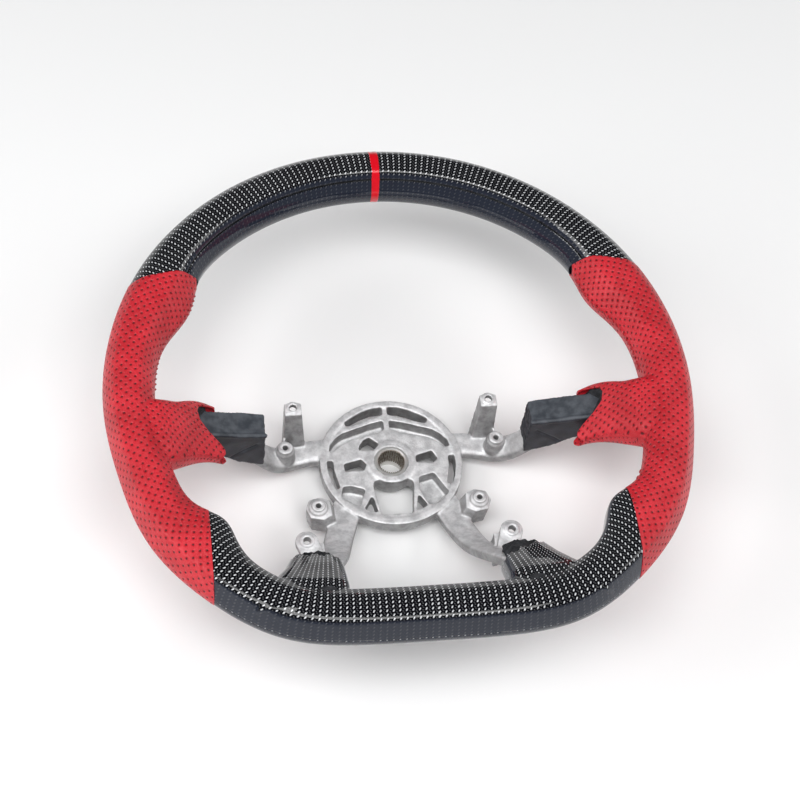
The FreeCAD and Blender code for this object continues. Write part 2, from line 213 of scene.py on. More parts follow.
def remeshed(node, name, material, grain, relax):
    """A copy of a CAD node's shape with its edges softened."""
    thing = piece_of(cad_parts[node].data.copy(), name, material)
    softened(thing, grain, relax)
    coat(thing, material)
    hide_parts(node)
    return thing


cast = Finish("die_cast_aluminium", Metallic=0.5, Specular_IOR_Level=0.6)
blotch = cast.grain(6 * MM, 6.0, 0.65)
pitting = cast.grain(0.9 * MM, 3.0, 0.6)
# Light and shade are painted here: faces turned up are painted pale as if lit from above, and walls are
# painted dark as shade; the blotches are the casting's own tone.
painted_lit_top = cast.mix(blotch.ramp(0.3, 0.7), rgb(0.62, 0.62, 0.63), rgb(0.93, 0.93, 0.94))
painted_shade_wall = cast.mix(blotch.ramp(0.3, 0.7), rgb(0.24, 0.235, 0.235), rgb(0.42, 0.42, 0.425))
cast.surface(
    Base_Color=cast.mix(cast.facing_up().ramp(*FACES_UP), painted_shade_wall, painted_lit_top),
    Roughness=0.36 + 0.3 * blotch,
    Normal=cast.bump(pitting + 0.8 * cast.grain(3.5 * MM), 0.3 * MM))
remeshed("hub_casting", "die_cast_hub", cast.material, CAST_GRAIN, CAST_RELAX)

# ---- rim core ----
# A drawn steel tube inside the rim, which the arms are cast round. It is hidden by the foam.
tube_steel = Finish("drawn_tube_steel", Metallic=1.0)
drawn = tube_steel.grain(4 * MM)
tube_steel.surface(
    Base_Color=tube_steel.mix(drawn, rgb(0.25, 0.25, 0.26), rgb(0.40, 0.41, 0.43)),
    Roughness=0.35 + 0.15 * drawn)
coat(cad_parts["rim_core"], tube_steel.material)

# ---- foam ----
# Black moulded foam fills the rim between the core and the coverings, and shows only where a stub or a
# sleeve ends, torn and crumbly. These are the lower and upper lengths. Each grip's comes with its leather.
TEAR_DEPTH = 1.6 * MM
TEAR_FADE = 8 * MM
CRUMB, FINE_CRUMB = 3.2 * MM, 1.4 * MM
FOAM_INSET = 0.15 * MM
FOAM_GRAIN = 1.4 * MM
LOWER_TEAR, UPPER_TEAR = 138 * MM, 0.0  # torn nearer to the spline than this; 0 tears nothing

foam = Finish("black_moulded_foam", Roughness=0.85, Specular_IOR_Level=0.25)
cells = foam.node("TexVoronoi", {}, {"Vector": foam.place(), "Scale": 1 / (1.1 * MM)})
foam.surface(
    Base_Color=foam.mix(foam.grain(5 * MM).ramp(0.3, 0.8), rgb(0.012, 0.013, 0.015), rgb(0.045, 0.047, 0.052)),
    Normal=foam.bump(cells + foam.grain(2.5 * MM), 0.5 * MM))


def tear(thing, inner_reach):
    """Pulls the surface about, outward and inward, where it is nearer to the spline than inner_reach."""
    normals = [v.normal.copy() for v in thing.data.vertices]
    for vertex, normal in zip(thing.data.vertices, normals):
        far = math.hypot(vertex.co.x, vertex.co.y)
        share = min(1.0, max(0.0, (inner_reach - far) / TEAR_FADE))
        lump = noise.noise(vertex.co / CRUMB) + 0.5 * noise.noise(vertex.co / FINE_CRUMB)
        vertex.co += normal * (TEAR_DEPTH * share * (lump - 0.2) - FOAM_INSET)


for node, reach in (("foam_lower", LOWER_TEAR), ("foam_upper", UPPER_TEAR)):
    filling = remeshed(node, node + "_moulded", foam.material, FOAM_GRAIN, 4)
    tear(filling, reach)

# ---- upper carbon shells ----
# Two gloss shells of woven carbon meet round the rim on a fine dark line, one in front and one behind.
# They follow the rim's own curve, which is read from the steel core, with a rounded polygon section.
# flats of the section: direction in degrees from outward towards the driver, and distance
UPPER_FLATS = ((5, 16.9), (50, 17.0), (90, 15.9), (150, 14.6),
               (190, 16.2), (232, 16.8), (270, 16.6), (318, 17.2))
LOWER_FLATS = ((25, 13.9), (84, 14.9), (130, 16.4), (180, 15.8),
               (230, 16.4), (270, 16.4), (322, 16.2), (355, 15.9))
EDGE_TIGHTNESS = 14.0
FLATS_CHANGE = (40.0, -25.0)            # degrees above three o'clock, upper flats to lower
RIM_HALF_WIDTH = 16.4
# thumb and heel rests: extra width, degrees above three o'clock, reach in degrees
THUMB = (9.5, 28.0, 9.0)
HEEL = (12.0, -36.5, 7.5)
SKIN = 1.5
JOINT_UP = (94.2, 128.0, 0.18)          # upper joint: height, at this distance out, and its fall
JOINT_CLOCKS = (30.0, 85.0)             # it lies between these two clock angles
FRONT_SEAM_TURN = (-8.0, 136.0)
SEAM_GAP = 1.9                          # each shell stops this many degrees short of the seam line
SEAM_ROUND = 0.2
BEYOND_RIM = 0.4
RING_POINTS = 2880
GIRTH_STEPS = 120
GIRTH_STEP = 360 / GIRTH_STEPS
TOP, FRONT = GIRTH_STEPS // 2, GIRTH_STEPS // 2    # the table's row at 12 o'clock, its column in front

core_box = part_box("rim_core")
RIM_PLANE = (core_box[0].z + core_box[1].z) / 2 / MM
core_tree = BVHTree.FromObject(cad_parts["rim_core"], bpy.context.evaluated_depsgraph_get())


def core_radius_at(clock):
    """Middle of the steel core, in millimetres from the spline axis, at a clock angle in degrees."""
    way = Vector((math.sin(math.radians(clock)), math.cos(math.radians(clock)), 0))
    start = Vector((0, 0, RIM_PLANE * MM))
    inner = core_tree.ray_cast(start, way)[3]
    outer = BEYOND_RIM - core_tree.ray_cast(start + way * BEYOND_RIM, -way)[3]
    return (inner + outer) / 2 / MM


def closed_spline(points, count):
    """A smooth closed curve through points, as count points."""
    n = len(points)
    gaps = np.linalg.norm(np.roll(points, -1, 0) - points, axis=1)
    before = np.roll(gaps, 1)
    system = np.zeros((n, n))
    for i in range(n):
        system[i, i] = 2 * (before[i] + gaps[i])
        system[i, (i - 1) % n] += before[i]
        system[i, (i + 1) % n] += gaps[i]
    slopes = (np.roll(points, -1, 0) - points) / gaps[:, None]
    bends = np.linalg.solve(system, 6 * (slopes - np.roll(slopes, 1, 0)))
    knots = np.concatenate([[0], np.cumsum(gaps)])
    along = np.linspace(0, knots[-1], count, endpoint=False)
    span = np.searchsorted(knots, along, side="right") - 1
    after = (span + 1) % n
    h = gaps[span][:, None]
    b = (along - knots[span])[:, None] / h
    a = 1 - b
    return (a * points[span] + b * points[after]
            + ((a ** 3 - a) * bends[span] + (b ** 3 - b) * bends[after]) * h ** 2 / 6)


clocks = np.arange(-180, 180, 15)
posts = np.array([[core_radius_at(clock) * math.sin(math.radians(clock)),
                   core_radius_at(clock) * math.cos(math.radians(clock))] for clock in clocks])
ring_line = closed_spline(posts, RING_POINTS)
ring_clock = np.degrees(np.arctan2(ring_line[:, 0], ring_line[:, 1]))
order = np.argsort(ring_clock)
ring_line, ring_clock = ring_line[order], ring_clock[order]
ring_way = np.roll(ring_line, -1, 0) - np.roll(ring_line, 1, 0)
ring_way /= np.linalg.norm(ring_way, axis=1)[:, None]
ring_length = np.cumsum(np.linalg.norm(ring_line - np.roll(ring_line, 1, 0), axis=1))
ring_length -= np.interp(0, ring_clock, ring_length)


def ring_at(clock):
    """Centreline point, outward direction and length from 12 o'clock at clock angles."""
    point = np.stack([np.interp(clock, ring_clock, ring_line[:, k], period=360) for k in (0, 1)], -1)
    way = np.stack([np.interp(clock, ring_clock, ring_way[:, k], period=360) for k in (0, 1)], -1)
    outward = np.stack([-way[..., 1], way[..., 0]], -1)
    return point, outward, np.interp(clock, ring_clock, ring_length)


def flats_radius(flats, turn):
    """Distance of a rounded polygon's outline from its middle."""
    total = 0
    for direction, distance in flats:
        facing = np.maximum(np.cos(turn - math.radians(direction)), 1e-9)
        total = total + (facing / distance) ** EDGE_TIGHTNESS
    return total ** (-1 / EDGE_TIGHTNESS)


def section_radius(clock, turn):
    """Distance of the skin from the centreline; turn is in radians from outward towards the driver."""
    share = np.clip((90 - abs(clock) - FLATS_CHANGE[0]) / (FLATS_CHANGE[1] - FLATS_CHANGE[0]), 0, 1)
    share = share * share * (3 - 2 * share)
    return (1 - share) * flats_radius(UPPER_FLATS, turn) + share * flats_radius(LOWER_FLATS, turn)


def widening(clock):
    """How much wider the inner half of the section is, at the thumb and heel rests."""
    angle = 90 - abs(clock)
    extra = sum(size * np.exp(-((angle - centre) / reach) ** 2) for size, centre, reach in (THUMB, HEEL))
    return 1 + extra / RIM_HALF_WIDTH


def skin_point(clock, turn, inset=0.0):
    """Points of the rim's skin in millimetres."""
    point, outward, _ = ring_at(clock)
    radius = section_radius(clock, turn) - inset
    across = radius * np.cos(turn) * np.where(np.cos(turn) > 0, 1, widening(clock))
    flat = point + outward * across[..., None]
    return np.concatenate([flat, (RIM_PLANE + radius * np.sin(turn))[..., None]], -1)


girth_clock = np.linspace(-180, 180, GIRTH_STEPS + 1)
girth_turn = np.radians(np.linspace(-90, 270, GIRTH_STEPS + 1))
girth_points = skin_point(*np.meshgrid(girth_clock, girth_turn, indexing="ij"))
girth_table = np.cumsum(np.linalg.norm(np.diff(girth_points, axis=1, prepend=girth_points[:, :1]), axis=2), 1)
girth_table -= girth_table[:, FRONT:FRONT + 1]


def table_at(clock, turn):
    """Length round the section from its front, at clock angles and turns from -90 to 270 degrees."""
    a = np.clip((clock + 180) / GIRTH_STEP, 0, GIRTH_STEPS - 0.001)
    b = np.clip((np.degrees(turn) + 90) / GIRTH_STEP, 0, GIRTH_STEPS - 0.001)
    i, j = a.astype(int), b.astype(int)
    a, b = a - i, b - j
    return ((1 - a) * (1 - b) * girth_table[i, j] + a * (1 - b) * girth_table[i + 1, j]
            + (1 - a) * b * girth_table[i, j + 1] + a * b * girth_table[i + 1, j + 1])


def joint_clock(turn, side):
    """Clock angle at which the upper joint plane crosses the skin, for each turn."""
    height, out, fall = JOINT_UP
    low, high = (np.full(len(turn), limit) for limit in JOINT_CLOCKS)
    for _ in range(30):
        middle = (low + high) / 2
        point = skin_point(side * middle, turn)
        above = point[:, 1] > height - fall * (abs(point[:, 0]) - out)
        low, high = np.where(above, middle, low), np.where(above, high, middle)
    return side * low


def mesh_from(points, faces, name):
    """A mesh from points in millimetres."""
    mesh = bpy.data.meshes.new(name)
    mesh.from_pydata([tuple(p) for p in np.asarray(points) * MM], [], [tuple(f) for f in faces])
    return mesh


def rounding(distance, radius):
    """How far a rounded edge drops below the skin, at a distance from its end."""
    t = np.clip(1 - distance / radius, 0, 1)
    return radius * (1 - np.sqrt(1 - t * t))


def reworked(mesh, *steps):
    """Runs each step on the mesh's editable form."""
    bm = bmesh.new()
    bm.from_mesh(mesh)
    for step in steps:
        step(bm)
    bm.to_mesh(mesh)
    bm.free()
    return mesh


def faced_outward(bm):
    bmesh.ops.recalc_face_normals(bm, faces=bm.faces)


def edge_steps(count, ends, size):
    """Even steps from 0 to 1 with extra ones near both ends, over a length of size."""
    fine = ends * np.array([0, 0.08, 0.25, 0.5, 1.0]) / size
    even = np.linspace(0, 1, count)[1:-1] * (1 - 4 * fine[-1]) + 2 * fine[-1]
    return np.concatenate([fine, even, 1 - fine[::-1]])


ROUND_STEPS = 70
GIRTH_LENGTH, RUN_LENGTH = 60.0, 300.0  # rough lengths round and along a shell


def shell_mesh(name, ends, turn_limits, thickness, round_edge, proud=0.0, steps=220):
    """A closed thin shell of the rim's skin, its outer edges rounded. ends holds two functions that
    give the end clock for each turn, and turn_limits the first and last turn in degrees."""
    first_turn, last_turn = turn_limits
    share_round = edge_steps(ROUND_STEPS, round_edge, GIRTH_LENGTH)
    turns = np.radians(first_turn + (last_turn - first_turn) * share_round)
    shares = edge_steps(steps, round_edge, RUN_LENGTH)
    begin, finish = (end(turns) for end in ends)
    clock = begin[None] + (finish - begin)[None] * shares[:, None]
    turn = np.broadcast_to(turns[None], clock.shape)
    outer = skin_point(clock, turn)
    round_length = np.cumsum(np.linalg.norm(np.diff(outer, axis=1, prepend=outer[:, :1]), axis=2), 1)
    run_length = np.cumsum(np.linalg.norm(np.diff(outer, axis=0, prepend=outer[:1]), axis=2), 0)
    margin = np.minimum(np.minimum(round_length, round_length[:, -1:] - round_length),
                        np.minimum(run_length, run_length[-1:] - run_length))
    outer = skin_point(clock, turn, rounding(margin, round_edge) - proud)
    inner = skin_point(clock, turn, thickness)
    rows, columns = clock.shape
    points = np.concatenate([outer.reshape(-1, 3), inner.reshape(-1, 3)])
    index = np.arange(rows * columns).reshape(rows, columns)
    quads = np.stack([index[:-1, :-1], index[1:, :-1], index[1:, 1:], index[:-1, 1:]], -1).reshape(-1, 4)
    under = quads[:, ::-1] + rows * columns
    loop = np.concatenate([index[0, :-1], index[:-1, -1], index[-1, :0:-1], index[:0:-1, 0]])
    ahead = np.roll(loop, -1)
    sides = np.stack([loop, ahead, ahead + rows * columns, loop + rows * columns], -1)
    mesh = mesh_from(points, np.concatenate([quads, under, sides]), name)
    layer = mesh.uv_layers.new(name="skin")
    flat = np.stack([ring_at(clock)[2], table_at(clock, turn)], -1).reshape(-1, 2) * MM
    which = np.empty(len(mesh.loops), int)
    mesh.loops.foreach_get("vertex_index", which)
    layer.data.foreach_set("uv", flat[which % (rows * columns)].ravel())
    return reworked(mesh, faced_outward)


TOW = 1.35 * MM
LEAN = 0.73                             # the cloth is pulled long across the rim, so its tows lean
DIAGONAL = 0.7071
FRONT_FACE = (0.52, 0.72)               # from the rim's walls, painted blue-grey as a reflection of the pale room, to its black driver's side
carbon = Finish("woven_carbon_under_gloss", Specular_IOR_Level=0.0,
                Coat_Weight=1.0, Coat_Roughness=0.04, Coat_IOR=1.45)


def fraction(value):
    return value.math("FRACT")


def hump(share):
    """1 in the middle of a share from 0 to 1, and 0 at both ends."""
    return 1 - ((share - 0.5) * 2).math("POWER", 2.0)


def crest(across, along):
    """1 on the middle of a tow's float, falling to 0 at its sides and ends."""
    return (hump(across) * hump(along)).math("MAXIMUM", 0.0)


def twill(finish, tow):
    """Two-by-two twill laid across the rim: which tow is on top, how near its crest, and where on the
    crest it glints."""
    skin = finish.node("UVMap", {"uv_map": "skin"}, {})
    x, y = finish.part_of(skin, 0), finish.part_of(skin, 1)
    a = (x + y * LEAN) * (DIAGONAL / tow)
    b = (x - y * LEAN) * (DIAGONAL / tow)
    i, j = a.math("FLOOR"), b.math("FLOOR")
    warp = fraction((i + j) * 0.25) < 0.49
    crest_warp = crest(fraction(a), fraction((b + i) * 0.25) * 2)
    crest_weft = crest(fraction(b), fraction((a + j + 2) * 0.25) * 2)
    glint = hump(fraction(y * (DIAGONAL * LEAN / tow) + 0.75))
    return warp, crest_warp * warp + crest_weft * (1 - warp), glint.ramp(0.45, 0.85)


warp, swell, glint = twill(carbon, TOW)
front_face = carbon.facing_up().ramp(*FRONT_FACE)
# The pale specks are painted highlights on the tow crests: strongest on faces towards the driver, weaker on
# the weft tows and on the walls, and patchy along the rim.
glint_speck = swell.ramp(0.5, 0.95) * (0.15 + 0.85 * glint) * (0.05 + 0.95 * front_face)
glint_patches = carbon.grain(30 * MM, 2.0)
# The walls' blue-grey is a painted reflection of the pale floor and room; the near-black on the faces towards
# the driver is the resin itself.
resin_and_wall_reflection = carbon.mix(front_face, rgb(0.017, 0.021, 0.034), rgb(0.0022, 0.0026, 0.0042))
carbon.surface(
    Base_Color=carbon.mix(glint_speck * (0.25 + 0.75 * warp) * (0.6 + 1.1 * glint_patches), resin_and_wall_reflection,
                          rgb(0.66, 0.67, 0.69)),
    Metallic=0.2 * glint_speck,
    Roughness=0.5 - 0.15 * glint_speck,
    Normal=carbon.bump(swell, 0.3 * MM))

UPPER_ENDS = (lambda turn: joint_clock(turn, -1), lambda turn: joint_clock(turn, 1))
UPPER_STEPS = 320
for name, first, last in (("front", FRONT_SEAM_TURN[0], FRONT_SEAM_TURN[1]),
                          ("rear", FRONT_SEAM_TURN[1], FRONT_SEAM_TURN[0] + 360)):
    mesh = shell_mesh("upper_" + name, UPPER_ENDS, (first + SEAM_GAP, last - SEAM_GAP), SKIN, SEAM_ROUND,
                      steps=UPPER_STEPS)
    shell = piece_of(mesh, "carbon_shell_upper_" + name, carbon.material)
    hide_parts("carbon_upper_" + name)

# ---- centre band ----
# A narrow red band with its own gloss runs round the rim at 12 o'clock, let into both upper shells. It
# stands a hair above the carbon, and its edges are rounded.
BAND_PROUD = 0.12
BAND_SKIN = 0.6
BAND_ROUND = 0.2
ALL_ROUND = (-89.9, 269.9)
band_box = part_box("centre_band")
band_clock = math.degrees(math.atan2(band_box[1].x, band_box[1].y))
red_gloss = Finish("red_band_gloss", Specular_IOR_Level=0.1,
                   Coat_Weight=1.0, Coat_Roughness=0.05, Coat_IOR=1.35)
cloud = red_gloss.grain(3 * MM)
red_gloss.surface(
    Base_Color=red_gloss.mix(cloud, rgb(0.62, 0.004, 0.012), rgb(0.78, 0.007, 0.020)),
    Roughness=0.3 + 0.15 * cloud)
band_mesh = shell_mesh("band", (lambda turn: 0 * turn - band_clock, lambda turn: 0 * turn + band_clock),
                       ALL_ROUND, BAND_SKIN, BAND_ROUND, BAND_PROUD, steps=8)
band = piece_of(band_mesh, "red_centre_band", red_gloss.material)
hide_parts("centre_band")

# ---- lower carbon shells ----
# The flat lower part of the rim and its two stubs over the spokes are one wrapped moulding, split into
# a front and a rear shell. The stubs flow out of the rim with a soft fillet and end torn off.
# stub, right side: y, centre x, centre z, half width, half depth
STUB = ((-98.0, 64.0, 71.0, 14.8, 12.5), (-112.0, 66.5, 82.0, 18.5, 14.0), (-122.0, 70.0, 89.5, 22.0, 14.8),
        (-130.0, 74.0, 95.0, 26.0, 15.5), (-150.0, 77.0, 101.0, 30.0, 15.5))
STUB_FOOT = -149                        # below this y a stub is all inside the rim
STUB_X = (42, 96)                       # a stub lies between these distances from the middle
STUB_TEAR_Y = 102.5
CORNER = 0.6                            # how round the corners of a covering's section are
CORNER_POWER = 3.333                    # the same section as an outline: 2 / CORNER
BRANCH_ROWS = 60
BLEND = 6
SHELL_GRAIN = 0.9
SHELL_RELAX = 16
LOWER_CLOCKS = (112, 248)
LOWER_JOINT_X = 128.0
SHELL_SEAM = ((-300, 101), (-134, 101), (-98, 71), (-40, 23))   # y and z of the line between the shells
ON_SURFACE = 0.6                        # a point this near to a surface is moved onto it
CLEAR_BY, CLEAR_FADE = 1.5, 3           # but only where the other surface is further off than this
TOO_NEAR = 0.02                         # a point this near to a cut counts as kept


def tube_faces(rows, columns):
    """Quads round a tube of rows rings, closed at both ends by fans of one polygon."""
    index = np.arange(rows * columns).reshape(rows, columns)
    ahead = np.roll(index, -1, 1)
    quads = np.stack([index[:-1], ahead[:-1], ahead[1:], index[1:]], -1).reshape(-1, 4)
    return [tuple(q) for q in quads] + [tuple(index[0, ::-1]), tuple(index[-1])]


def rim_length(first, last):
    """The solid rim between two clock angles, as points and faces."""
    clock = (np.linspace(first, last, int(abs(last - first) * 2) + 1) + 180) % 360 - 180
    turn = np.radians(np.arange(0, 360, 3))
    points = skin_point(*np.meshgrid(clock, turn, indexing="ij"))
    return points.reshape(-1, 3), tube_faces(len(clock), len(turn))


def squared(value):
    return np.sign(value) * abs(value) ** CORNER


def branch(stations, along, side):
    """A spoke covering through rounded sections, as points and faces. along is 0 for x and 1 for y."""
    stations = np.array(sorted(stations))
    places = np.linspace(stations[0, 0], stations[-1, 0], BRANCH_ROWS)
    rows = np.stack([np.interp(places, stations[:, 0], column) for column in stations.T[1:]], -1)
    spread = np.pad(rows, ((BLEND, BLEND), (0, 0)), mode="reflect", reflect_type="odd")
    rows = sum(spread[k:k + BRANCH_ROWS] for k in range(2 * BLEND + 1)) / (2 * BLEND + 1)
    turn = np.radians(np.arange(0, 360, 4))
    points = []
    for place, (middle, height, half_width, half_depth, *tilt) in zip(places, rows):
        a = half_width * squared(np.cos(turn))
        b = half_depth * squared(np.sin(turn)) + (tilt[0] * a if tilt else 0)
        level = np.full(len(turn), place)
        flat = (level, middle + a) if along == 0 else (middle + a, level)
        points.append(np.stack([side * flat[0], flat[1], height + b], -1))
    return np.concatenate(points), tube_faces(len(places), len(turn))


def joined(name, *solids, relax=8):
    """One smooth mesh round several overlapping solids."""
    points, faces, base = [], [], 0
    for solid_points, solid_faces in solids:
        points.append(solid_points)
        faces += [tuple(int(i) + base for i in face) for face in solid_faces]
        base += len(solid_points)
    thing = put(name, reworked(mesh_from(np.concatenate(points), faces, name), faced_outward))
    mesh = softened(thing, SHELL_GRAIN * MM, relax).data
    bpy.data.objects.remove(thing)
    return mesh


def cut_away(bm, depth_of):
    """Splits the mesh exactly where depth_of, in millimetres, crosses zero, and removes what is below."""
    bm.verts.ensure_lookup_table()
    places = np.array([v.co for v in bm.verts]) / MM
    depth = depth_of(places)
    depth = np.where(abs(depth) < TOO_NEAR, TOO_NEAR, depth)
    values = {v: d for v, d in zip(bm.verts, depth)}
    fresh = []
    for edge in list(bm.edges):
        a, b = edge.verts
        if values[a] * values[b] < 0:
            fresh.append(bmesh.utils.edge_split(edge, a, values[a] / (values[a] - values[b]))[1])
    bmesh.ops.connect_verts(bm, verts=fresh)
    gone = [face for face in bm.faces if sum(values.get(v, 0.0) for v in face.verts) < 0]
    bmesh.ops.delete(bm, geom=gone, context="FACES")


def largest_part(bm):
    """Removes every loose part but the biggest."""
    left, parts = set(bm.faces), []
    while left:
        stack, part = [left.pop()], []
        while stack:
            face = stack.pop()
            part.append(face)
            for edge in face.edges:
                for other in edge.link_faces:
                    if other in left:
                        left.remove(other)
                        stack.append(other)
        parts.append(part)
    parts.sort(key=len)
    bmesh.ops.delete(bm, geom=[f for part in parts[:-1] for f in part], context="FACES")


def around_rim(places):
    """Clock angle, turn and distance from the centreline of points in millimetres."""
    clock = np.degrees(np.arctan2(places[:, 0], places[:, 1]))
    for _ in range(3):
        point, outward, _ = ring_at(clock)
        way = np.stack([outward[:, 1], -outward[:, 0]], -1)
        slip = ((places[:, :2] - point) * way).sum(1)
        clock = clock + np.degrees(slip / np.linalg.norm(places[:, :2], axis=1))
        clock = (clock + 180) % 360 - 180
    point, outward, _ = ring_at(clock)
    across = ((places[:, :2] - point) * outward).sum(1)
    rise = places[:, 2] - RIM_PLANE
    turn = np.arctan2(rise, np.where(across < 0, across / widening(clock), across))
    turn = np.where(turn < -math.pi / 2, turn + 2 * math.pi, turn)
    return clock, turn, across, rise


def places_of(mesh):
    """The mesh's points in millimetres."""
    places = np.empty(len(mesh.vertices) * 3)
    mesh.vertices.foreach_get("co", places)
    return places.reshape(-1, 3) / MM


def off_the_rim(clock, turn, across, rise):
    """How far points stand off the rim's skin."""
    inward = np.where(across < 0, across / widening(clock), across)
    return np.hypot(inward, rise) - section_radius(clock, turn)


BRANCH_STARTS, BRANCH_FADE = 1.0, 6.0
CREST_TURN, INNER_TURN = math.radians(128), math.radians(180)
CLOTH_PULL = 1.25
FACES_FRONT, FACES_WALL = 0.15, 0.35


def lay_skin(mesh):
    """The covering's own map, in metres: along the rim, and round it from the front, carried on in
    the same direction over the spoke branches."""
    count = len(mesh.vertices)
    places = places_of(mesh)
    normals = np.empty(count * 3)
    mesh.vertex_normals.foreach_get("vector", normals)
    facing = normals.reshape(-1, 3)[:, 2]
    clock, turn, across, rise = around_rim(places)
    u, v = ring_at(clock)[2], table_at(clock, turn)
    branch_share = np.clip((off_the_rim(clock, turn, across, rise) - BRANCH_STARTS) / BRANCH_FADE, 0, 1)
    reach = np.clip(-across - RIM_HALF_WIDTH * 0.65, 0, None)
    from_crest, from_inside = (table_at(clock, np.full(count, start)) for start in (CREST_TURN, INNER_TURN))
    branch_v = np.where(facing > FACES_FRONT, from_crest, from_inside) + CLOTH_PULL * reach
    level = np.where(abs(facing) > FACES_WALL, 0.0, rise)
    u = u + branch_share * level * np.sign(places[:, 0])
    v = (1 - branch_share) * v + branch_share * branch_v
    layer = mesh.uv_layers.new(name="skin")
    total = girth_table[TOP, -1] - girth_table[TOP, 0]
    length = ring_length[-1] - ring_length[0]
    values = np.empty((len(mesh.loops), 2))
    for polygon in mesh.polygons:
        own = list(polygon.vertices)
        spread = v[own]
        wrap = spread.max() - spread.min() > total * 0.5
        across_six = u[own].max() - u[own].min() > length * 0.5
        for loop, vertex in zip(polygon.loop_indices, own):
            values[loop] = (u[vertex] + (length if across_six and u[vertex] < 0 else 0),
                            v[vertex] + (total if wrap and v[vertex] < 0 else 0))
    layer.data.foreach_set("uv", (values * MM).ravel())
    mesh.uv_layers.active = layer


def trimmed(base, name, *cuts):
    """A copy of a mesh cut along each of the given edges, keeping its biggest part."""
    bm = bmesh.new()
    bm.from_mesh(base)
    for cut in cuts:
        cut_away(bm, cut)
    largest_part(bm)
    mesh = bpy.data.meshes.new(name)
    bm.to_mesh(mesh)
    bm.free()
    return mesh


def polyline_height(places, line, across, up):
    """How far points lie above a polyline drawn in two of their coordinates."""
    line = np.array(line, float)
    return places[:, up] - np.interp(places[:, across], line[:, 0], line[:, 1])


UNCUT = 20.0


def stub_end(places):
    """The torn ends of the two stubs: distance outward of the tear, which runs slanted on the right."""
    x, y = places[:, 0], places[:, 1]
    ragged = 1.3 * np.sin(x * 0.7) + 0.9 * np.sin(x * 2.1 + places[:, 2] * 0.8) + 0.5 * np.sin(x * 4.7)
    slant = np.where(x > 0, 0.55 * (x - 72), 0.12 * (abs(x) - 62))
    return np.where((abs(x) > STUB_X[0]) & (abs(x) < STUB_X[1]), slant - (y + STUB_TEAR_Y + ragged), UNCUT)


def settled(mesh, stations):
    """Moves a remeshed covering back onto the exact rim and stub surfaces that it was made from."""
    places = places_of(mesh)
    clock, turn, across, rise = around_rim(places)
    off_rim = off_the_rim(clock, turn, across, rise)
    stations = np.array(sorted(stations))
    centre_x, centre_z, wide, deep = (np.interp(places[:, 1], stations[:, 0], column)
                                      for column in stations.T[1:])
    a = abs(places[:, 0]) - centre_x
    b = places[:, 2] - centre_z
    size = (abs(a / wide) ** CORNER_POWER + abs(b / deep) ** CORNER_POWER) ** (CORNER / 2)
    off_stub = (size - 1) * np.minimum(wide, deep)
    near_rim, near_stub = (np.clip(2.0 - abs(off) / ON_SURFACE, 0, 1) for off in (off_rim, off_stub))
    clear_of_rim, clear_of_stub = (np.clip((off - CLEAR_BY) / CLEAR_FADE, 0, 1) for off in (off_rim, off_stub))
    pull = near_stub * clear_of_rim * (places[:, 1] > STUB_FOOT) * (1 / np.maximum(size, 0.2) - 1)
    places += (near_rim * clear_of_stub)[:, None] * (skin_point(clock, turn) - places)
    places[:, 0] += pull * a * np.sign(places[:, 0])
    places[:, 2] += pull * b
    mesh.vertices.foreach_set("co", (places * MM).ravel())
    mesh.update()
    return mesh


lower_mesh = joined("lower", rim_length(*LOWER_CLOCKS), branch(STUB, 1, 1), branch(STUB, 1, -1),
                    relax=SHELL_RELAX)
settled(lower_mesh, STUB)
for name, sign in (("front", 1), ("rear", -1)):
    mesh = trimmed(lower_mesh, "lower_" + name,
                   lambda p: LOWER_JOINT_X - abs(p[:, 0]),
                   stub_end,
                   lambda p: sign * polyline_height(p, SHELL_SEAM, 1, 2))
    lay_skin(mesh)
    shell = piece_of(mesh, "carbon_shell_lower_" + name, carbon.material)
    modified(shell, "SOLIDIFY", thickness=SKIN * MM, offset=-1.0)
    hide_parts("carbon_lower_" + name)

# ---- leather grips ----
# Perforated red leather is pulled over each side of the rim and, as a sleeve, over the end of the
# spoke. It stands slightly above the carbon and is laced together along the inside.
# sleeve, right side: x, centre y, centre z, half width, half depth, tilt. The lip is wide and thin,
# and the body under it runs round the arm and its block.
SLEEVE_LIP = ((108.0, -7.5, 68.0, 17.5, 6.5, 0.07), (118.0, -7.5, 76.5, 17.8, 7.0, 0.08),
              (130.0, -10.5, 87.0, 19.5, 8.5, 0.10), (140.0, -17.0, 95.0, 20.0, 10.5, 0.08),
              (150.0, -22.5, 100.5, 20.5, 12.0, 0.05), (168.0, -23.0, 102.0, 25.0, 13.4, 0.0))
SLEEVE_BODY = ((108.0, -2.0, 65.0, 11.5, 8.5, 0.10), (130.0, -8.0, 82.0, 14.0, 13.0, 0.15),
               (150.0, -16.0, 97.0, 17.0, 15.2, 0.1), (168.0, -18.0, 101.0, 21.0, 14.4, 0.0))
# the open end of the sleeve, a lip at each side of a hollow middle: y, and how far out the edge is there
SLEEVE_MOUTH = ((-60, 122), (-30, 122), (-26.5, 118.5), (-24.5, 115), (-22, 113.2), (-19.5, 113.6),
                (-16.5, 117), (-12, 123.5), (-7, 128.5), (-1, 130), (3.5, 128.5), (6.5, 123),
                (8.5, 119.5), (10, 118), (14, 120), (60, 125))
GRIP_CLOCKS = (35, 146)
LOWER_JOINT_Y = -60                     # the lower joint is cut only below this
LEATHER_PROUD = 0.35
FOAM_RECESS = 1.5                       # the foam ends this far inside the sleeve's mouth
GRIP_TEAR = 126 * MM
SIDES = (("right", 1), ("left", -1))
HOLE_PITCH = 5.7 * MM
HOLE_ROW = 2.9 * MM
HOLE_RADIUS = 0.62 * MM

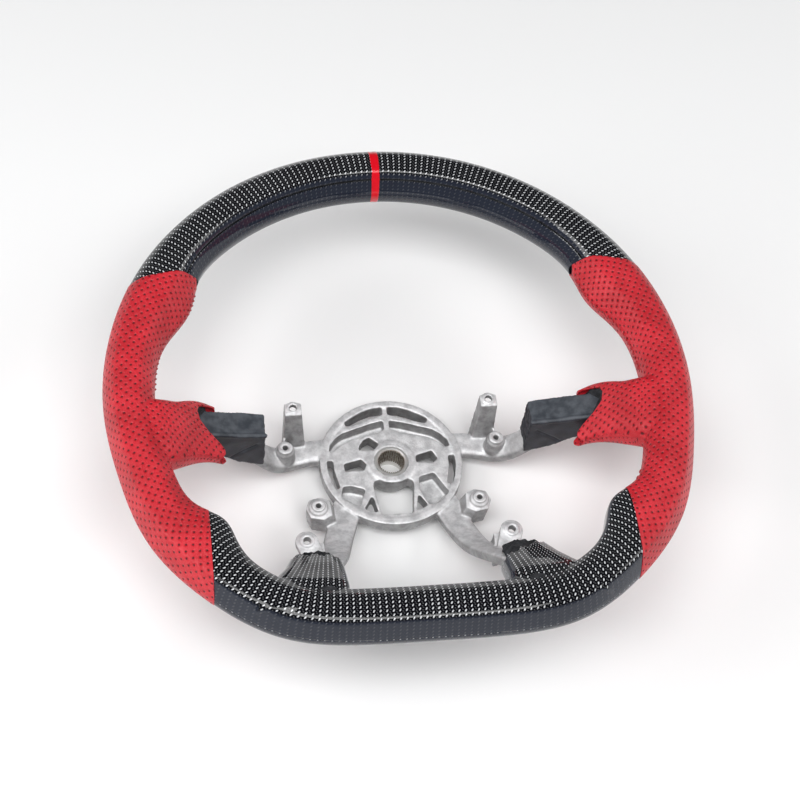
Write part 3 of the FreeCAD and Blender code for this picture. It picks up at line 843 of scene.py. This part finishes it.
leather = Finish("perforated_red_leather", Specular_IOR_Level=0.5)
hide = leather.node("UVMap", {"uv_map": "skin"}, {})
along, over = leather.part_of(hide, 0), leather.part_of(hide, 1)
row = (over / HOLE_ROW).math("FLOOR")
step = fraction(along / HOLE_PITCH + 0.5 * row) - 0.5
rise = fraction(over / HOLE_ROW) - 0.5
off_x = (step * HOLE_PITCH).math("POWER", 2.0)
off_y = (rise * HOLE_ROW).math("POWER", 2.0)
from_hole = (off_x + off_y).math("SQRT") / HOLE_RADIUS
skin_left = from_hole.ramp(0.75, 1.25)
dish = from_hole.ramp(0.6, 2.3)
pores = leather.node("TexVoronoi", {"feature": "DISTANCE_TO_EDGE"},
                     {"Vector": leather.place(), "Scale": 1 / (0.9 * MM)})
patina = leather.grain(22 * MM, 3.0)
tone = leather.mix(patina.ramp(0.3, 0.7), rgb(0.50, 0.009, 0.018), rgb(0.66, 0.018, 0.032))
leather.surface(
    Base_Color=leather.mix(skin_left, rgb(0.09, 0.002, 0.005), tone),
    Roughness=0.30 + 0.14 * patina + 0.3 * (1 - skin_left),
    Normal=leather.bump(0.75 * dish + 0.16 * pores.ramp(0.0, 0.25) + 0.25 * skin_left, 0.75 * MM))


def above_joint(places):
    height, out, fall = JOINT_UP
    return height - fall * (abs(places[:, 0]) - out) - places[:, 1]


def below_joint(places):
    return np.where(places[:, 1] < LOWER_JOINT_Y, abs(places[:, 0]) - LOWER_JOINT_X, UNCUT)


def sleeve_mouth(places):
    line = np.array(SLEEVE_MOUTH, float)
    return abs(places[:, 0]) - np.interp(places[:, 1], line[:, 0], line[:, 1])


def ends_closed(bm):
    bmesh.ops.holes_fill(bm, edges=[edge for edge in bm.edges if edge.is_boundary])


for side, sign in SIDES:
    whole = joined("grip_" + side, rim_length(*(sign * clock for clock in GRIP_CLOCKS)),
                   branch(SLEEVE_LIP, 0, sign), branch(SLEEVE_BODY, 0, sign))
    mesh = trimmed(whole, "grip_" + side, above_joint, below_joint, sleeve_mouth)
    lay_skin(mesh)
    grip = piece_of(mesh, "leather_grip_sewn_" + side, leather.material)
    modified(grip, "DISPLACE", strength=LEATHER_PROUD * MM, mid_level=0.0)
    modified(grip, "SOLIDIFY", thickness=SKIN * MM, offset=-1.0)
    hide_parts("leather_grip_" + side)

    # The grip's foam fills that same covering and is torn in its mouth.
    foam_mesh = trimmed(whole, "grip_foam_" + side, above_joint, below_joint,
                        lambda p: sleeve_mouth(p) - FOAM_RECESS)
    reworked(foam_mesh, ends_closed)
    filling = piece_of(foam_mesh, "grip_foam_torn_" + side, foam.material)
    modified(filling, "DISPLACE", strength=-SKIN * MM, mid_level=0.0)
    softened(filling, FOAM_GRAIN, 2)
    tear(filling, GRIP_TEAR)
    coat(filling, foam.material)
    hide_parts("grip_foam_" + side)

# ---- lacing ----
# A waxed red thread laces the leather edges together along the inside of each grip, in short slanted
# stitches that rise out of the leather and sink back into it.
STITCH_RADIUS = 0.45
STITCH_PITCH = 3.6
STITCH_RUNS = ((57.0, 85.5), (114.0, 121.5))    # clock angles
STITCH_TURN = 3.5
STITCH_SLANT = 0.45
STITCH_BOW = 0.5

thread = Finish("waxed_red_thread", Sheen_Weight=0.2)
twist = thread.node("TexWave", {"bands_direction": "DIAGONAL"},
                    {"Vector": thread.place(), "Scale": 1 / (1.2 * MM)})
thread.surface(
    Base_Color=thread.mix(twist, rgb(0.30, 0.008, 0.014), rgb(0.52, 0.022, 0.03)),
    Roughness=0.55 + 0.1 * twist,
    Normal=thread.bump(twist, 0.1 * MM))


def stitch(start, end, lift, radius):
    """One short stitch from start to end, bowed by lift, as points and faces."""
    steps = np.linspace(0, 1, 9)
    line = start + (end - start) * steps[:, None] + lift * (1 - (2 * steps[:, None] - 1) ** 2)
    way = (end - start) / np.linalg.norm(end - start)
    side = np.cross(way, lift / np.linalg.norm(lift))
    up = np.cross(side, way)
    turn = np.radians(np.arange(0, 360, 45))
    thin = radius * np.sqrt(np.clip(1 - (2 * steps - 1) ** 6, 0.04, 1))
    points = line[:, None] + thin[:, None, None] * (np.cos(turn)[:, None] * side + np.sin(turn)[:, None] * up)
    return points.reshape(-1, 3), tube_faces(len(steps), len(turn))


for side, sign in SIDES:
    points, faces, base = [], [], 0
    for first, last in STITCH_RUNS:
        run = abs(ring_at(np.array([sign * last]))[2] - ring_at(np.array([sign * first]))[2])[0] * 0.88
        for clock in sign * np.linspace(first, last, int(run / STITCH_PITCH)):
            clock = np.array([clock, clock])
            turn = np.radians([180 - STITCH_TURN, 180 + STITCH_TURN])
            ends = skin_point(clock + np.array([-STITCH_SLANT, STITCH_SLANT]), turn, -LEATHER_PROUD)
            inward = -np.append(ring_at(clock)[1][0], 0)
            new_points, new_faces = stitch(ends[0], ends[1], inward * STITCH_BOW, STITCH_RADIUS)
            points.append(new_points)
            faces += [tuple(int(i) + base for i in face) for face in new_faces]
            base += len(new_points)
    lacing = piece_of(mesh_from(np.concatenate(points), faces, "lacing_" + side), "lacing_" + side,
                      thread.material)
    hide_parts("seam_thread_" + side)

# ---- spoke blocks ----
# A moulded satin block fills each side spoke between the casting and the sleeve. It has a raised lip
# along its near edge, rounded corners and a flared outer end.
block_finish = Finish("moulded_satin_block", Specular_IOR_Level=0.45)
shade = block_finish.grain(7 * MM)
mottle = shade.ramp(0.3, 0.7)
# The sides are painted darker than the top, as shade from the light overhead; the mottle is the moulding's own
# tone.
painted_shade_side = block_finish.mix(mottle, rgb(0.006, 0.006, 0.010), rgb(0.022, 0.022, 0.032))
lit_block_top = block_finish.mix(mottle, rgb(0.032, 0.038, 0.048), rgb(0.085, 0.095, 0.11))
block_finish.surface(
    Base_Color=block_finish.mix(block_finish.facing_up().ramp(0.2, 0.8), painted_shade_side, lit_block_top),
    Roughness=0.48 + 0.15 * shade,
    Normal=block_finish.bump(block_finish.grain(0.8 * MM), 0.12 * MM))
# near edge's y and top's z along the block, and the far ends of the crease on its near side
BLOCK_EDGE = ((86.5, 104.0, 126.0), (-6.5, -8.0, -13.0), (70.0, 74.0, 86.0))
CREASE = ((92.0, 60.0), (108.0, 50.0))
LIP_HEIGHT, LIP_REACH, LIP_FADE = 0.9, 2.4, 0.8
CREASE_DEPTH, CREASE_WIDTH = 0.9, 1.3
ROUGH_END, ROUGH_GRAIN = 1.6, 3.5 * MM
SWELL, SWELL_GRAIN = 0.35, 8 * MM
FLARE_START, FLARE_LENGTH = 114, 12
FLARE_OUT, FLARE_SPREAD = 5.0, 0.10
BLOCK_MIDDLE = (-4.2, 76.5)             # y and z, from which the flare spreads
BLOCK_GRAIN = 0.6 * MM
BLOCK_RELAX = 4


def moulded(thing, sign):
    """Raises the lip along the near top edge, sinks the slanted crease, roughens the inner end and
    flares the outer end into the mouth of the sleeve."""
    normals = [v.normal.copy() for v in thing.data.vertices]
    (x0, z0), (x1, z1) = CREASE
    for vertex, normal in zip(thing.data.vertices, normals):
        x, y, z = sign * vertex.co.x / MM, vertex.co.y / MM, vertex.co.z / MM
        near, top = (np.interp(x, BLOCK_EDGE[0], row) for row in BLOCK_EDGE[1:])
        from_edge = math.hypot(max(0.0, y - near), max(0.0, top - z))
        lip = LIP_HEIGHT * max(0.0, min(1.0, (LIP_REACH - from_edge) / LIP_FADE))
        along = ((x - x0) * (x1 - x0) + (z - z0) * (z1 - z0)) / ((x1 - x0) ** 2 + (z1 - z0) ** 2)
        along = max(0.0, min(1.0, along))
        off = math.hypot(x - x0 - along * (x1 - x0), z - z0 - along * (z1 - z0))
        crease = -CREASE_DEPTH * math.exp(-(off / CREASE_WIDTH) ** 2) * max(0.0, -normal.y)
        end = max(0.0, -sign * normal.x - 0.4) * ROUGH_END * noise.noise(vertex.co / ROUGH_GRAIN)
        swell = SWELL * noise.noise(vertex.co / SWELL_GRAIN)
        vertex.co += normal * (lip + crease + end + swell) * MM
        flare = max(0.0, min(1.0, (x - FLARE_START) / FLARE_LENGTH)) ** 2
        spread = (FLARE_SPREAD * (y - BLOCK_MIDDLE[0]), FLARE_SPREAD * (z - BLOCK_MIDDLE[1]))
        vertex.co += Vector((sign * FLARE_OUT, *spread)) * flare * MM


for side, sign in SIDES:
    block = remeshed("spoke_block_" + side, "spoke_block_moulded_" + side, block_finish.material,
                     BLOCK_GRAIN, BLOCK_RELAX)
    moulded(block, sign)

# ---- floor, light and camera ----
# A plain pale floor under the lowest point, a wide soft lamp overhead and one at each side, a room that
# is brightest low down, and one camera from the driver's lower left.
LAMPS = (("overhead_softbox", (-0.2, -0.75, 1.85), (1.8, 0.9), 33),
         ("left_softbox", (-1.7, -0.2, 1.2), (1.2, 1.2), 20),
         ("right_softbox", (1.7, 0.1, 1.2), (1.2, 1.2), 15))
AZIMUTH, ELEVATION, ROLL = -15.0912, 56.7156, 10.0064
DISTANCE = 1.21607
ASIDE = (-0.001003, 0.038965)           # the camera's shift to its own right and up, in metres
LENS = 81.93
LENS_SHIFT = (0.01265, 0.00346)

floor_mesh = bpy.data.meshes.new("floor")
floor_mesh.from_pydata([(-6, -6, 0), (6, -6, 0), (6, 6, 0), (-6, 6, 0)], [], [(0, 1, 2, 3)])
floor = put("floor", floor_mesh)
floor.location.z = cad_low.z
paper = Finish("pale_floor", Roughness=0.9, Specular_IOR_Level=0.1)
floor.data.materials.append(paper.surface(Base_Color=rgb(0.93, 0.93, 0.93)))

middle = Vector((0, 0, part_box("spline_bush")[1].z - 0.4 * MM))
for name, place, size, power in LAMPS:
    lamp = bpy.data.lights.new(name, "AREA")
    lamp.shape = "RECTANGLE"
    lamp.size, lamp.size_y = size
    lamp.energy = power
    thing = put(name, lamp)
    thing.location = place
    thing.rotation_euler = (middle - Vector(place)).to_track_quat("-Z", "Y").to_euler()

world = bpy.data.worlds.new("room")
bpy.context.scene.world = world
world.use_nodes = True
room = Nodes(world.node_tree)
height = room.part_of(room.node("TexCoord", {}, {}, "Generated"), 2)
fall = room.node("MapRange", {}, {"Value": height, "From Min": -0.05, "From Max": 0.35,
                                  "To Min": 0.40, "To Max": 0.04})
room.feed(world.node_tree.nodes["Background"], {"Color": rgb(0.90, 0.94, 1.0), "Strength": fall})
bpy.context.scene.view_settings.view_transform = "Standard"

azimuth, elevation, roll = (math.radians(a) for a in (AZIMUTH, ELEVATION, ROLL))
back = Vector((math.sin(azimuth) * math.cos(elevation), -math.cos(azimuth) * math.cos(elevation),
               math.sin(elevation)))
level = Vector((0, 0, 1)).cross(back).normalized()
steep = back.cross(level)
right = level * math.cos(roll) + steep * math.sin(roll)
up = steep * math.cos(roll) - level * math.sin(roll)
camera_data = bpy.data.cameras.new("camera")
camera_data.lens = LENS
camera_data.shift_x, camera_data.shift_y = LENS_SHIFT
camera = put("camera", camera_data)
stand = Matrix.Translation(middle + back * DISTANCE + right * ASIDE[0] + up * ASIDE[1])
camera.matrix_world = stand @ Matrix((right, up, back)).transposed().to_4x4()
bpy.context.scene.camera = camera
